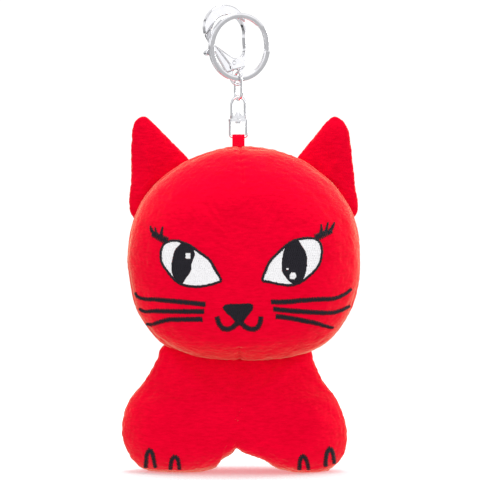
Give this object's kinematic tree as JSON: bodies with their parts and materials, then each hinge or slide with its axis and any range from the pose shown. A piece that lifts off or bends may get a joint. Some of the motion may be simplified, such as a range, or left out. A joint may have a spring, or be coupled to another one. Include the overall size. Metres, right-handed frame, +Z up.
{
  "type": "plush keychain",
  "caption": "Stuffed cat keychain in short-pile plush with an embroidered face, on a ribbon loop with a swivel, a jump link, a lobster clasp and a split key ring.",
  "frame": {"origin": "bottom centre of the whole keychain's box: on the surface that the two feet stand on, under the middle of the head", "axes": "+Z up from the feet to the key ring, -Y the way the face looks, +X to the right of someone looking at the face"},
  "size_m": [0.1054, 0.074, 0.2056],
  "materials": {
    "plush_fabric": "matte",
    "ribbon": "satin",
    "black_thread": "satin",
    "white_thread": "satin",
    "stuffing": "matte",
    "polished_metal": "polished"
  },
  "bodies": {
    "plush": {"head_front_panel": "plush_fabric", "head_back_panel": "plush_fabric", "head_stuffing": "stuffing", "body_front_left_panel": "plush_fabric", "body_front_right_panel": "plush_fabric", "body_back_left_panel": "plush_fabric", "body_back_right_panel": "plush_fabric", "body_stuffing": "stuffing", "left_ear_front_panel": "plush_fabric", "left_ear_back_panel": "plush_fabric", "left_ear_filling": "stuffing", "right_ear_front_panel": "plush_fabric", "right_ear_back_panel": "plush_fabric", "right_ear_filling": "stuffing", "left_eye_white": "white_thread", "left_eye_outline": "black_thread", "left_eye_highlight": "white_thread", "left_lashes": "black_thread", "right_eye_white": "white_thread", "right_eye_outline": "black_thread", "right_eye_highlight": "white_thread", "right_lashes": "black_thread", "nose": "black_thread", "mouth": "black_thread", "left_whiskers": "black_thread", "right_whiskers": "black_thread", "left_toe_lines": "black_thread", "right_toe_lines": "black_thread", "ribbon_tail": "ribbon"},
    "ribbon": {"ribbon_loop": "ribbon"},
    "lower_loop": {"swivel_lower_loop": "polished_metal"},
    "upper_loop": {"swivel_upper_loop": "polished_metal", "swivel_pin": "polished_metal"},
    "link": {"jump_link": "polished_metal"},
    "ring": {"key_ring": "polished_metal"},
    "clasp": {"clasp_body": "polished_metal", "clasp_pin": "polished_metal", "clasp_spring": "polished_metal"},
    "lever": {"clasp_lever": "polished_metal"}
  },
  "joints": [
    {"name": "ribbon_bend", "type": "hinge", "parent": "plush", "child": "ribbon", "pos_m": [-0.0012, 0, 0.1439], "axis": [1, 0, 0], "range_deg": [-50, 50]},
    {"name": "loop_tilt", "type": "hinge", "parent": "ribbon", "child": "lower_loop", "pos_m": [-0.0012, 0, 0.1476], "axis": [-1, 0, 0], "range_deg": [-80, 80]},
    {"name": "swivel_spin", "type": "hinge", "parent": "lower_loop", "child": "upper_loop", "pos_m": [-0.0012, 0, 0.155], "axis": [0, 0, 1], "continuous": true},
    {"name": "link_swing", "type": "hinge", "parent": "upper_loop", "child": "link", "pos_m": [-0.0012, 0, 0.1651], "axis": [-1, 0, 0], "range_deg": [-60, 60]},
    {"name": "ring_swing", "type": "hinge", "parent": "link", "child": "ring", "pos_m": [-0.0008, -0.00075, 0.17315], "axis": [0.8829, 0.4695, 0], "range_deg": [0, 80]},
    {"name": "clasp_swing", "type": "hinge", "parent": "link", "child": "clasp", "pos_m": [-0.0019, 0.00132, 0.17556], "axis": [-0.4695, 0.8829, 0], "range_deg": [-45, 45]},
    {"name": "lever_press", "type": "hinge", "parent": "clasp", "child": "lever", "pos_m": [-0.00376, 0.00084, 0.17994], "axis": [-0.4523, 0.8877, -0.0854], "range_deg": [0, 18], "stiffness_Nm_per_rad": 0.05, "springref_deg": -17.19}
  ]
}
